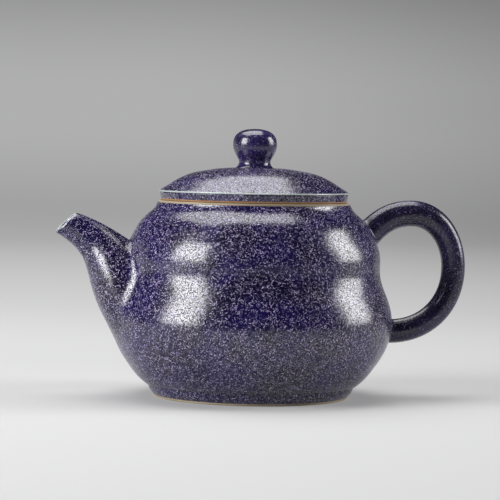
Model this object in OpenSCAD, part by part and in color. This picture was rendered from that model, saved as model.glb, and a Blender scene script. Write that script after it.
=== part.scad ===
// Round lidded teapot in speckled glaze over bare clay, built the way such a pot is luted together:
// a thrown wall, a floor disc, a foot ring, a mouth ring, a lofted spout over a pierced ball strainer,
// a pulled loop handle, and a lid made of a seat plate, a dome slab, a flange and a knob.
// Frame: origin at the centre of the foot's resting circle, +Z up, spout toward -X, handle toward +X.

/* [Pot wall] */
// Radius of the belly at its widest
belly_r = 46.8; // [42:0.2:58]
// Height of the widest point of the belly
belly_z = 25.4; // [20:0.1:30]
// Radius where the wall turns in toward the foot
hip_r = 41.75; // [38:0.25:44]
// Radius of the near-vertical waist above the belly
waist_r = 42.4; // [38:0.2:50]
// Height of the lower end of the waist
waist_low_z = 41.9; // [38:0.1:44]
// Height of the upper end of the waist
waist_top_z = 46.9; // [45:0.1:50]
// Height of the wall, up to the plane that carries the mouth ring
wall_top_z = 64.4; // [60:0.1:78]
// Thickness of the wall
wall = 2.8; // [2.2:0.1:3.6]
// Thickness of the floor disc
floor_t = 3; // [2.2:0.1:4]
// Radius of the opening that takes the floor disc
floor_r = 31.4; // [27:0.1:32]

/* [Foot ring] */
// Height of the foot ring
foot_h = 4; // [3:0.1:4.6]
// Outer radius of the foot ring where it meets the wall
foot_top_r = 34.35; // [33:0.05:34.6]
// How far the foot ring draws in toward the table
foot_taper = 1.9; // [1:0.1:2.8]
// Inner radius of the foot ring
foot_bore_r = 29; // [24:0.1:29.6]

/* [Mouth ring] */
// Outer radius of the mouth ring, and of the lid's edge above it
rim_r = 31.6; // [29.8:0.1:33]
// Height of the mouth ring above the wall
rim_h = 0.7; // [0.6:0.1:1.5]
// Depth that the mouth ring hangs inside the wall
rim_drop = 2.6; // [1.5:0.1:3.2]
// Radius of the mouth's bore, which guides the lid
mouth_r = 26.8; // [22:0.1:27.4]
// Radius of the wall's opening that takes the mouth ring
collar_r = 29.4; // [28.4:0.1:29.6]

/* [Lid] */
// Height of the lid's vertical edge band
band_h = 2.7; // [1.6:0.05:3.2]
// How far the upper edge of the lid's band stays inside the bead above it
band_step = 0.2; // [0.05:0.05:0.4]
// How far the lid's band draws in toward the mouth ring
band_taper = 0.25; // [0:0.05:0.5]
// Rise of the dome above the band
dome_rise = 8.35; // [7:0.05:12]
// Thickness of the dome slab
dome_t = 2.4; // [1.8:0.1:3]
// Height of the flange that reaches into the mouth
flange_h = 7.6; // [5:0.1:10]
// Thickness of the flange
flange_t = 2.5; // [1.8:0.1:3.2]
// Clearance between the flange and the mouth's bore, on the radius
lid_play = 0.25; // [0.2:0.05:0.5]
// Clearance between the seated lid and the mouth ring
seat_gap = 0.1; // [0.05:0.05:0.2]
// How far the lid can be lifted straight up
lid_lift = 55; // [20:1:80]

/* [Knob] */
// Radius of the knob's bulb
knob_r = 7.32; // [6:0.1:9]
// Height of the knob
knob_h = 12.95; // [10:0.1:16]
// Radius of the knob's neck
neck_r = 5.25; // [4:0.05:5.7]
// Radius of the knob's foot on the dome
knob_foot_r = 6.3; // [5.8:0.1:8]
// Diameter of the steam vent through the knob and the dome
vent_d = 1.6; // [1:0.1:3]

/* [Spout] */
// How far the centre of the spout's mouth stands out beyond the belly
spout_out = 15.55; // [12:0.05:22]
// Distance from the wall's top plane down to the centre of the spout's mouth
spout_mouth_drop = 7.25; // [4:0.05:12]
// Length of the spout's mouth, measured along its sloping cut
mouth_cut = 9.6; // [7:0.1:12]
// Slope of the mouth's cut, from level
mouth_cut_angle = 43; // [35:1:52]
// Half the width of the spout at its mouth
tip_half_w = 4.2; // [3.6:0.1:6]
// Half the width of the spout at its root, before the flare
root_half_w = 15.4; // [12:0.1:16]
// Distance from the wall's top plane down to the top of the spout's root
root_top_drop = 12.8; // [10:0.1:14]
// Height of the bottom of the spout's root
root_low_z = 20.6; // [19:0.1:24]
// Width of the flare where the spout is luted on
root_flare = 1.8; // [0.5:0.1:2.4]
// Thickness of the spout's wall at its mouth
lip_t = 1.25; // [1:0.05:1.8]
// Thickness of the spout's wall at its root
spout_root_t = 3.8; // [3:0.1:4.4]

/* [Strainer] */
// Radius of the hole in the wall behind the spout, which takes the strainer
strainer_r = 8.5; // [7:0.1:9]
// Thickness of the ball strainer
strainer_t = 1.4; // [1:0.1:1.8]
// Diameter of each pierced hole
pierce_d = 1.6; // [1:0.1:1.8]
// Angle between the rows of pierced holes
pierce_step = 23; // [20:0.5:25]

/* [Handle] */
// Diameter of the handle along its fall
handle_d = 8; // [6:0.1:10]
// Extra diameter of the handle over its top
handle_top_extra = 0.75; // [0:0.05:1.5]
// Extra diameter of the handle at its upper root, beyond the top
handle_root_extra = 0.3; // [0:0.05:1.5]
// Width of the small flare where each end is luted on
handle_flare = 0.55; // [0.2:0.05:1.2]
// How far the handle's centreline stands out beyond the belly at its farthest
handle_out = 22.05; // [16:0.05:32]
// Height of the handle's centreline at its top, above the wall's top plane when positive
handle_top_rise = -2.7; // [-4:0.1:2]
// Height of the handle's farthest point
handle_mid_z = 43.4; // [38:0.1:48]
// Height of the handle's lower root
handle_low_z = 22; // [20:0.1:26]
// Distance from the wall's top plane down to the handle's upper root
handle_root_drop = 9.5; // [8:0.1:10.5]

/* [Hidden] */
glaze = "#2d2654";
dark_glaze = "#1b1734";
clay = "#c58a52";
lute = 0.05;                                   // clearance of a luted fit, on the radius
turn = 96;                                     // fineness of the turned parts
floor_z = foot_h + floor_t;
rim_z = wall_top_z + rim_h;                    // top of the mouth ring
seat_z = rim_z + seat_gap;                     // underside of the seated lid
band_z = seat_z + band_h;                      // top of the lid's edge band
dome_z = band_z + dome_rise;                   // flat on top of the dome, under the knob
flange_r = mouth_r - lid_play;
vent_r = vent_d / 2;

// --- curves -------------------------------------------------------------------------------------
// A station is [place, value, slope]; the curve between two stations is a cubic with those slopes.
function span(p, q, u) =
    let (d = q[0] - p[0], t = (u - p[0]) / d)
    (2*t*t*t - 3*t*t + 1) * p[1] + (t*t*t - 2*t*t + t) * d * p[2]
    + (3*t*t - 2*t*t*t) * q[1] + (t*t*t - t*t) * d * q[2];
function curve(st, u, i = 0) =
    (i >= len(st) - 2 || u <= st[i + 1][0]) ? span(st[i], st[i + 1], u) : curve(st, u, i + 1);
function slope(st, u) = (curve(st, u + 0.01) - curve(st, u - 0.01)) / 0.02;
function bez(p, t) =
    pow(1 - t, 3) * p[0] + 3 * pow(1 - t, 2) * t * p[1] + 3 * (1 - t) * t * t * p[2]
    + pow(t, 3) * p[3];
function dbez(p, t) =
    3 * pow(1 - t, 2) * (p[1] - p[0]) + 6 * (1 - t) * t * (p[2] - p[1]) + 3 * t * t * (p[3] - p[2]);
function unit(v) = v / norm(v);
function mix(a, b, t) = a + (b - a) * t;
function steps(a, b, n) = [for (i = [0:n]) a + (b - a) * i / n];

// Outer radius of the wall by height: foot, hip, belly, waist, shoulder, and the short neck at the rim.
WALL = [
    [foot_h, foot_top_r + 0.55, 1.45],
    [foot_h + 7.4, hip_r, 0.72],
    [belly_z, belly_r, 0],
    [(belly_z + waist_low_z) / 2 + 1.25, mix(belly_r, waist_r, 0.53), -0.42],
    [waist_low_z, waist_r + 0.05, -0.05],
    [waist_top_z, waist_r, -0.07],
    [wall_top_z - 10.7, mix(waist_r, rim_r, 0.2), -0.54],
    [wall_top_z - 5.2, rim_r + 5.1, -0.95],
    [wall_top_z - 3.4, rim_r + 3.15, -1.12],
    [wall_top_z - 1.6, rim_r + 1.4, -0.62],
    [wall_top_z, rim_r + 0.6, -0.2]
];
function wall_r(z) = curve(WALL, min(max(z, foot_h), wall_top_z));
function inner_pt(z) =
    let (s = slope(WALL, z), k = wall / sqrt(1 + s * s))
    [wall_r(z) - k, z + k * s];
// The bed of a luted piece: a skin that lies the luting clearance outside the wall.
function bed_r(z) = wall_r(z) + lute;
// Distance from the pot's middle plane to the bed, at a place y across and z up.
function bed_x(y, z) = sqrt(max(pow(bed_r(z), 2) - y * y, 1));

// --- pot ----------------------------------------------------------------------------------------
module body() {
    outer = [for (z = steps(foot_h, wall_top_z, 46)) [wall_r(z), z]];
    inner = [for (z = steps(wall_top_z - 0.2, foot_h + 0.2, 34))
        let (p = inner_pt(z))
        if (p[1] > floor_z + 0.3 && p[0] > collar_r + 0.4 && p[1] < wall_top_z - 1) p];
    color(glaze)
    difference() {
        rotate_extrude($fn = turn)
            polygon(concat(
                [[floor_r, foot_h]],
                outer,
                [[collar_r, wall_top_z], [collar_r, inner[0][1]]],
                inner,
                [[inner[len(inner) - 1][0] - 0.1, floor_z], [floor_r, floor_z]]
            ));
        strainer_frame()
            translate([0, 0, -8])
                cylinder(h = 16, r = strainer_r, $fn = 64);
    }
}

module base_disc() {
    color(clay)
        translate([0, 0, foot_h])
            cylinder(h = floor_t, r = floor_r - lute, $fn = turn);
}

module foot_ring() {
    r0 = foot_top_r - foot_taper;
    color(clay)
        rotate_extrude($fn = turn)
            polygon(concat(
                [[foot_bore_r, foot_h], [foot_bore_r, 0.4], [foot_bore_r + 0.4, 0], [r0 - 0.6, 0]],
                [for (a = [20:20:80]) [r0 - 0.6 + 0.6 * sin(a), 0.6 - 0.6 * cos(a)]],
                [for (t = steps(0, 1, 6)) [mix(r0, foot_top_r, sin(t * 90)), mix(0.6, foot_h, t)]]
            ));
}

module mouth_ring() {
    color(clay)
        rotate_extrude($fn = turn)
            polygon([
                [mouth_r, wall_top_z - rim_drop],
                [collar_r - lute, wall_top_z - rim_drop],
                [collar_r - lute, wall_top_z],
                [rim_r, wall_top_z],
                [rim_r, rim_z - 0.2],
                [rim_r - 0.2, rim_z],
                [mouth_r + 0.4, rim_z],
                [mouth_r, rim_z - 0.4]
            ]);
}

// --- spout --------------------------------------------------------------------------------------
// Two rails, along the back and along the throat, carry elliptical sections that fan from the sloping
// mouth to the root. The root's rings are laid on the bed around the wall, so the spout seats on it.
cut = [cos(mouth_cut_angle), sin(mouth_cut_angle)] * mouth_cut / 2;
mouth_c = [-belly_r - spout_out, wall_top_z - spout_mouth_drop];
root_top_z = wall_top_z - root_top_drop;
strainer_z = (root_top_z + root_low_z) / 2;
root_top = [-wall_r(root_top_z), root_top_z];
root_low = [-wall_r(root_low_z), root_low_z];
back_end = mouth_c + cut;
throat_end = mouth_c - cut;
BACK = [root_top, root_top + [-5.6, 3.6], back_end + [6, -1.8], back_end];
THROAT = [root_low, root_low + [-13.1, 18.8], throat_end + [15.2, -8.6], throat_end];
spout_n = 40;

function spout_half(t) = mix(tip_half_w, root_half_w, pow(1 - t, 1.5));
// The thumbed fillet at the root: full at the sides, half as wide over the back and the throat.
function flare(t, a) = t < 0.17 ? root_flare * (1 - 0.5 * pow(cos(a), 2)) * pow(1 - t / 0.17, 2.2) : 0;
// A point of the loft at t from root to mouth and angle a, drawn in from the outer skin by inset.
function loft(t, a, inset) =
    let (
        back = bez(BACK, t),
        throat = bez(THROAT, t),
        mid = (back + throat) / 2,
        half = (back - throat) / 2,
        grow = flare(t, a) - inset,
        rise = half * (1 + grow / norm(half))
    )
    [mid[0] + rise[0] * cos(a), (spout_half(t) + grow) * sin(a), mid[1] + rise[1] * cos(a)];
function seat(t) = t < 0.55 ? pow(1 - t / 0.55, 2) : 0;
function spout_pt(t, a, inset) =
    let (
        p = loft(t, a, inset),
        q = loft(0, a, inset),
        slide = -bed_x(q[1], q[2]) - q[0]
    )
    p + [slide * seat(t), 0, 0];
function channel_t(t, a) = mix(spout_root_t, lip_t, pow(t, 0.45)) + flare(t, a);
function lip_pt(k, a) =
    let (p = spout_pt(1, a, lip_t * k), n = unit([-cut[1], cut[0]]), b = lip_t * 0.5 * sin(180 * k))
    p + [n[0] * b, 0, n[1] * b];
function root_pt(k, a) =
    let (p = mix(spout_pt(0, a, channel_t(0, a)), spout_pt(0, a, 0), k))
    [-bed_x(p[1], p[2]), p[1], p[2]];

module spout() {
    angles = [for (j = [0:spout_n - 1]) j * 360 / spout_n];
    rings = concat(
        [for (t = steps(0, 1, 19)) [for (a = angles) spout_pt(pow(t, 1.35), a, 0)]],
        [for (k = [0.25, 0.5, 0.75]) [for (a = angles) lip_pt(k, a)]],
        [for (t = steps(1, 0, 10)) [for (a = angles) spout_pt(t, a, channel_t(t, a))]],
        [for (k = [0.25, 0.5, 0.75]) [for (a = angles) root_pt(k, a)]]
    );
    color(glaze) skin_loop(rings, spout_n);
}

// A closed tube of rings, whose last ring joins the first again.
module skin_loop(rings, n) {
    m = len(rings);
    polyhedron(
        points = [for (r = rings) each r],
        faces = [
            for (i = [0:m - 1], j = [0:n - 1])
                let (
                    a = i * n + j,
                    b = i * n + (j + 1) % n,
                    c = ((i + 1) % m) * n + (j + 1) % n,
                    d = ((i + 1) % m) * n + j
                )
                each [[a, b, c], [a, c, d]]
        ]
    );
}

// The strainer's own frame: origin in the wall's skin behind the spout, +Z square to the wall and inward.
strainer_lean = atan2(wall_r(strainer_z - strainer_r) - wall_r(strainer_z + strainer_r), 2 * strainer_r);
strainer_x = (wall_r(strainer_z - strainer_r) + wall_r(strainer_z + strainer_r)) / 2;
// Depth of the curved skin at the hole's sides, which the rim stays behind.
strainer_sink = strainer_x - bed_x(strainer_r, strainer_z) + 0.35;
module strainer_frame() {
    translate([-strainer_x, 0, strainer_z])
        rotate([0, 90 + strainer_lean, 0])
            children();
}

// A thimble pierced with rows of holes; it stands in the wall's hole with its ball toward the tea.
module strainer() {
    r = strainer_r - lute;
    rows = floor(72 / pierce_step);
    color(clay)
        strainer_frame()
            translate([0, 0, strainer_sink])
                difference() {
                    union() {
                        cylinder(h = wall, r = r, $fn = 64);
                        translate([0, 0, wall])
                            sphere(r = r, $fn = 64);
                    }
                    translate([0, 0, wall])
                        sphere(r = r - strainer_t, $fn = 64);
                    translate([0, 0, -1])
                        cylinder(h = wall + 1, r = r - strainer_t, $fn = 64);
                    translate([-2 * r, -2 * r, -2 * r])
                        cube([4 * r, 4 * r, 2 * r]);
                    for (k = [0:rows])
                        for (j = [0:max(6 * k, 1) - 1])
                            translate([0, 0, wall])
                                rotate([0, 0, j * 360 / max(6 * k, 1) + 15 * k])
                                    rotate([0, k * pierce_step, 0])
                                        translate([0, 0, r - strainer_t - 0.5])
                                            cylinder(h = strainer_t + 1, d = pierce_d, $fn = 24);
                }
}

// --- handle -------------------------------------------------------------------------------------
handle_reach = belly_r + handle_out;
handle_root_z = wall_top_z - handle_root_drop;
handle_top_z = wall_top_z + handle_top_rise;
h_start = [wall_r(handle_root_z), handle_root_z];
h_top = [mix(wall_r(handle_root_z), handle_reach, 0.5), handle_top_z];
h_far = [handle_reach, handle_mid_z];
h_end = [wall_r(handle_low_z), handle_low_z];
H_RISE = [h_start, h_start + [4.9, 5.4], h_top - [5.2, 0], h_top];
H_TURN = [h_top, h_top + [8.6, 0], h_far + [0, 9.9], h_far];
H_FALL = [h_far, h_far - [0, 12.2], h_end + [13.4, -0.3], h_end];
handle_n = 24;

// Radius along the rise, the turn and the fall.
top_r = (handle_d + handle_top_extra) / 2;
function rise_r(t) = top_r + handle_root_extra / 2 * pow(1 - t, 2);
function turn_r(t) = mix(top_r, handle_d / 2, t * t * (3 - 2 * t));
function ring3(c, d, r) =
    [for (j = [0:handle_n - 1])
        let (a = j * 360 / handle_n, n = [-d[1], d[0]])
        [c[0] + n[0] * r * cos(a), r * sin(a), c[1] + n[1] * r * cos(a)]];
// Distance along d from p to the bed on the wall, by halving.
function reach(p, d, lo, hi, n = 22) =
    let (m = (lo + hi) / 2, q = p + d * m)
    n == 0 ? m
    : norm([q[0], q[1]]) > bed_r(q[2]) ? reach(p, d, m, hi, n - 1) : reach(p, d, lo, m, n - 1);
function on_bed(p, d) = p + d * reach(p, d, -1, 16);
function land(ring, d) = [for (p = ring) on_bed(p, [d[0], 0, d[1]])];

// Rings that ease from a landed foot, with its flare, to the first free ring.
function ease(foot, free, ks) =
    let (c0 = centre(foot), c1 = centre(free))
    [for (k = ks)
        [for (j = [0:len(foot) - 1]) mix(c0, c1, k) + mix(foot[j] - c0, free[j] - c1, pow(k, 0.5))]];
function centre(r) = [for (i = [0:2]) sum([for (p = r) p[i]]) / len(r)];
function sum(v, i = 0) = i >= len(v) ? 0 : v[i] + sum(v, i + 1);

module handle() {
    d0 = unit(dbez(H_RISE, 0));
    d1 = unit(dbez(H_FALL, 1));
    out = 4;
    foot_a = land(ring3(h_start + d0 * out, d0, rise_r(0) + handle_flare), -d0);
    foot_c = land(ring3(h_end - d1 * out, d1, handle_d / 2 + handle_flare), d1);
    rise = [for (t = steps(0.3, 1, 8)) ring3(bez(H_RISE, t), unit(dbez(H_RISE, t)), rise_r(t))];
    turn_over = [for (t = steps(0.1, 1, 10)) ring3(bez(H_TURN, t), unit(dbez(H_TURN, t)), turn_r(t))];
    fall = [for (t = steps(0.08, 0.84, 11)) ring3(bez(H_FALL, t), unit(dbez(H_FALL, t)), handle_d / 2)];
    rings = concat([foot_a], ease(foot_a, rise[0], [0.06, 0.18, 0.4, 0.7]), rise, turn_over, fall,
        ease(foot_c, fall[len(fall) - 1], [0.7, 0.4, 0.18, 0.06]), [foot_c]);
    color(dark_glaze) skin_rod(rings, handle_n);
}

// A rod of rings, closed at each end by smaller rings that lie on the same bed.
module skin_rod(rings, n) {
    in_a = [for (k = [0.66, 0.33]) cap_ring(rings[0], k)];
    in_b = [for (k = [0.66, 0.33]) cap_ring(rings[len(rings) - 1], k)];
    all = concat([in_a[1], in_a[0]], rings, [in_b[0], in_b[1]]);
    m = len(all);
    pa = to_bed(centre(rings[0]));
    pb = to_bed(centre(rings[len(rings) - 1]));
    polyhedron(
        points = concat([for (r = all) each r], [pa, pb]),
        faces = concat(
            [for (i = [0:m - 2], j = [0:n - 1])
                let (
                    a = i * n + j,
                    b = i * n + (j + 1) % n,
                    c = (i + 1) * n + (j + 1) % n,
                    d = (i + 1) * n + j
                )
                each [[a, b, c], [a, c, d]]],
            [for (j = [0:n - 1]) [m * n, (j + 1) % n, j]],
            [for (j = [0:n - 1]) [m * n + 1, (m - 1) * n + j, (m - 1) * n + (j + 1) % n]]
        )
    );
}
function to_bed(p) = [bed_x(p[1], p[2]), p[1], p[2]];
function cap_ring(ring, k) = let (c = centre(ring)) [for (p = ring) to_bed(mix(c, p, k))];

// --- lid ----------------------------------------------------------------------------------------
// Height of the dome by radius: flat under the knob, then falling ever faster to the rounded edge.
DOME = [
    [knob_foot_r + 0.2, dome_z, 0],
    [rim_r * 0.475, dome_z - dome_rise * 0.096, -0.165],
    [rim_r * 0.712, dome_z - dome_rise * 0.311, -0.42],
    [rim_r * 0.855, dome_z - dome_rise * 0.596, -0.66],
    [rim_r - 0.12, band_z + 0.52, -0.74]
];
function dome_at(r) = r < knob_foot_r + 0.2 ? dome_z : curve(DOME, r);

module lid_cover() {
    top = [for (r = steps(knob_foot_r + 0.2, rim_r - 0.12, 24)) [r, dome_at(r)]];
    bead = [for (a = [25:-25:-75]) [rim_r - 0.4 + 0.4 * cos(a), band_z + 0.3 + 0.3 * sin(a)]];
    in_r = flange_r - flange_t;
    under = [for (r = steps(in_r + 1.6, knob_foot_r, 12))
        let (s = r > knob_foot_r + 0.21 ? slope(DOME, r) : 0, k = dome_t / sqrt(1 + s * s))
        if (dome_at(r) - k > band_z + 0.5) [r + k * s, dome_at(r) - k]];
    color(glaze)
        rotate_extrude($fn = turn)
            polygon(concat(
                [[vent_r, dome_z]],
                top,
                bead,
                [[rim_r - 0.4, band_z], [in_r, band_z]],
                under,
                [[vent_r, dome_z - dome_t]]
            ));
}

module lid_plate() {
    in_r = flange_r - flange_t;
    edge_r = rim_r - band_step;
    low_r = edge_r - band_taper;
    color(glaze)
        rotate_extrude($fn = turn)
            polygon([
                [in_r, seat_z],
                [low_r - 0.25, seat_z],
                [low_r, seat_z + 0.25],
                [edge_r, band_z - 0.25],
                [edge_r - 0.25, band_z],
                [in_r, band_z]
            ]);
}

module lid_flange() {
    color(clay)
        rotate_extrude($fn = turn)
            polygon([
                [flange_r - flange_t, seat_z],
                [flange_r - flange_t, seat_z - flange_h + 0.5],
                [flange_r - flange_t + 0.5, seat_z - flange_h],
                [flange_r - 0.9, seat_z - flange_h],
                [flange_r - 0.25, seat_z - flange_h + 0.65],
                [flange_r, seat_z - flange_h + 2],
                [flange_r, seat_z]
            ]);
}

// The knob: a flared foot, a short neck, and a bulb that ends in a slightly flattened crown.
knob_eq = knob_h * 0.598;
KNOB = [
    [0, knob_foot_r, -1.1],
    [knob_h * 0.139, neck_r, 0],
    [knob_h * 0.325, mix(neck_r, knob_r, 0.52), 0.53],
    [knob_eq, knob_r, 0]
];
function crown(a) =
    let (p = 2 / 2.45)
    [knob_r * pow(cos(a), p), knob_eq + (knob_h - knob_eq) * pow(sin(a), p)];

module knob() {
    color(dark_glaze)
        translate([0, 0, dome_z])
            rotate_extrude($fn = turn)
                polygon(concat(
                    [[vent_r, 0]],
                    [for (z = steps(0, knob_eq, 20)) [curve(KNOB, z), z]],
                    [for (a = [6:6:84]) if (crown(a)[0] > vent_r + 0.2) crown(a)],
                    [[vent_r, knob_h]]
                ));
}

body();
base_disc();
foot_ring();
mouth_ring();
spout();
strainer();
handle();
lid_cover();
lid_plate();
lid_flange();
knob();
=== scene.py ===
"""A round lidded teapot in speckled glaze over bare clay.

The pot stands on its foot ring at the origin, with the spout toward -X and the handle toward +X.
Every size is in millimetres until a mesh is written, and in metres after that.
"""
from __future__ import annotations

import logging
import math
from dataclasses import asdict, dataclass, field
from enum import Enum
from typing import Callable, Sequence

import bmesh
import bpy
from bpy.types import Material, Mesh, Node, NodeSocket, NodeTree, Object
from mathutils import Matrix, Vector

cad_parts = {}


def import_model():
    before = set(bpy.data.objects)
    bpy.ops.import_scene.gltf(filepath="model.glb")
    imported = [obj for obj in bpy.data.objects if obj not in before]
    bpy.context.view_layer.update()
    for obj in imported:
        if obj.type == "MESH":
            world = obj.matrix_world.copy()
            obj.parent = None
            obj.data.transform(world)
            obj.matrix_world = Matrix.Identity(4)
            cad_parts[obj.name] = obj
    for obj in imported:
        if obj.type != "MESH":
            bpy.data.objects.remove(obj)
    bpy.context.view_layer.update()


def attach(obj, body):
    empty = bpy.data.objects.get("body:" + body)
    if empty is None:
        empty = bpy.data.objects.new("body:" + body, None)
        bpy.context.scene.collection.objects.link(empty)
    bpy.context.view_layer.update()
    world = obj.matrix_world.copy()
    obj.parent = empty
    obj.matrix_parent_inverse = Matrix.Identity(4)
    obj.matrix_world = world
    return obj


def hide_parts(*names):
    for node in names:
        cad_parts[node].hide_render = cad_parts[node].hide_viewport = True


MM = 0.001
WELD = 1e-7  # points closer than this, in metres, become one
TURN_SIDES = 216
LOG = logging.getLogger("teapot")

Point2 = tuple[float, float]
Station = tuple[float, float, float]
Colour = tuple[float, float, float]


class Finish(Enum):
    """The finishes that the pieces are fired with."""

    GLAZE = "glaze"
    DARK_GLAZE = "dark_glaze"
    CLAY = "clay"


class Body(Enum):
    """The two parts that move apart."""

    POT = "pot"
    LID = "lid"


# --- curves ---------------------------------------------------------------------------------------


def mix(a: float, b: float, t: float) -> float:
    """Return the value that lies t of the way from a to b."""
    return a + (b - a) * t


def steps(a: float, b: float, count: int) -> list[float]:
    """Return count + 1 even steps from a to b."""
    return [mix(a, b, i / count) for i in range(count + 1)]


def share(value: float, none: float, full: float) -> float:
    """Return how far a value has come from none to full, kept between 0 and 1."""
    return min(1.0, max(0.0, (value - none) / (full - none)))


@dataclass(frozen=True)
class Contour:
    """A smooth line through stations, each a place, the value there and the slope there."""

    stations: tuple[Station, ...]

    def at(self, place: float) -> float:
        """Return the value at a place.

        Args:
            place: Where along the line, in the stations' own unit.

        Returns:
            The value of the cubic between the two stations around that place.
        """
        last = len(self.stations) - 2
        i = 0
        while i < last and place > self.stations[i + 1][0]:
            i += 1
        p, q = self.stations[i], self.stations[i + 1]
        d = q[0] - p[0]
        t = (place - p[0]) / d
        return (
            (2 * t**3 - 3 * t**2 + 1) * p[1]
            + (t**3 - 2 * t**2 + t) * d * p[2]
            + (3 * t**2 - 2 * t**3) * q[1]
            + (t**3 - t**2) * d * q[2]
        )

    def slope(self, place: float) -> float:
        """Return the slope at a place."""
        nudge = 0.01
        return (self.at(place + nudge) - self.at(place - nudge)) / (2 * nudge)


@dataclass(frozen=True)
class Rail:
    """A cubic curve in the pot's middle plane, from its four control points (x, z)."""

    points: tuple[Vector, Vector, Vector, Vector]

    def at(self, t: float) -> Vector:
        """Return the point at t."""
        a, b, c, d = self.points
        s = 1 - t
        return s**3 * a + 3 * s * s * t * b + 3 * s * t * t * c + t**3 * d

    def along(self, t: float) -> Vector:
        """Return the direction of travel at t, as long as the rail is quick there."""
        a, b, c, d = self.points
        s = 1 - t
        return 3 * s * s * (b - a) + 6 * s * t * (c - b) + 3 * t * t * (d - c)


def hermite(p: Vector, q: Vector, lead_p: Vector, lead_q: Vector, t: float) -> Vector:
    """Return a point of the cubic that leaves p along lead_p and reaches q along lead_q."""
    return Rail((p, p + lead_p, q - lead_q, q)).at(t)


# --- meshes ---------------------------------------------------------------------------------------


def add_object(name: str, mesh: Mesh) -> Object:
    """Put a mesh into the scene as an object at the origin.

    Args:
        name: The object's name.
        mesh: Its mesh.

    Returns:
        The new object.
    """
    obj = bpy.data.objects.new(name, mesh)
    bpy.context.scene.collection.objects.link(obj)
    return obj


def face_out(mesh: Mesh, merge: bool = False) -> None:
    """Turn a closed mesh's faces outward.

    Args:
        mesh: The mesh to mend.
        merge: True to merge the points that lie on each other first.
    """
    work = bmesh.new()
    work.from_mesh(mesh)
    if merge:
        bmesh.ops.remove_doubles(work, verts=work.verts, dist=WELD)
    bmesh.ops.recalc_face_normals(work, faces=work.faces)
    work.to_mesh(mesh)
    work.free()
    mesh.update()


def settle(obj: Object) -> None:
    """Leave what an object's modifiers make of it as its plain mesh."""
    plain = bpy.data.meshes.new_from_object(obj.evaluated_get(bpy.context.evaluated_depsgraph_get()))
    obj.modifiers.clear()
    old, obj.data = obj.data, plain
    bpy.data.meshes.remove(old)


def shade(mesh: Mesh, crease: float = 38.0) -> None:
    """Shade a mesh smooth, with its corners kept sharp.

    Args:
        mesh: The mesh to shade.
        crease: The angle in degrees past which an edge stays sharp.
    """
    mesh.shade_smooth()
    mesh.set_sharp_from_angle(angle=math.radians(crease))


def tube(rings: Sequence[Sequence[Vector]], closed: bool) -> tuple[list[Vector], list[tuple[int, ...]]]:
    """Join rings of equal length into a skin.

    Args:
        rings: The rings in order.
        closed: True if the last ring joins the first again.

    Returns:
        The points, and the faces between neighbouring rings.
    """
    n = len(rings[0])
    verts = [p for ring in rings for p in ring]
    faces = []
    for i in range(len(rings) if closed else len(rings) - 1):
        k = (i + 1) % len(rings)
        for j in range(n):
            m = (j + 1) % n
            faces.append((i * n + j, i * n + m, k * n + m, k * n + j))
    return verts, faces


def arc(centre: Point2, radius: float, start: float, end: float, count: int = 4) -> list[Point2]:
    """Return points on an arc of a turned profile.

    Args:
        centre: The arc's centre (radius, height).
        radius: The arc's radius.
        start: Its first angle in degrees, from outward and counter-clockwise.
        end: Its last angle in degrees.
        count: How many steps it takes.

    Returns:
        The points in order.
    """
    angles = [math.radians(a) for a in steps(start, end, count)]
    return [(centre[0] + radius * math.cos(a), centre[1] + radius * math.sin(a)) for a in angles]


# --- node trees -----------------------------------------------------------------------------------


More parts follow.
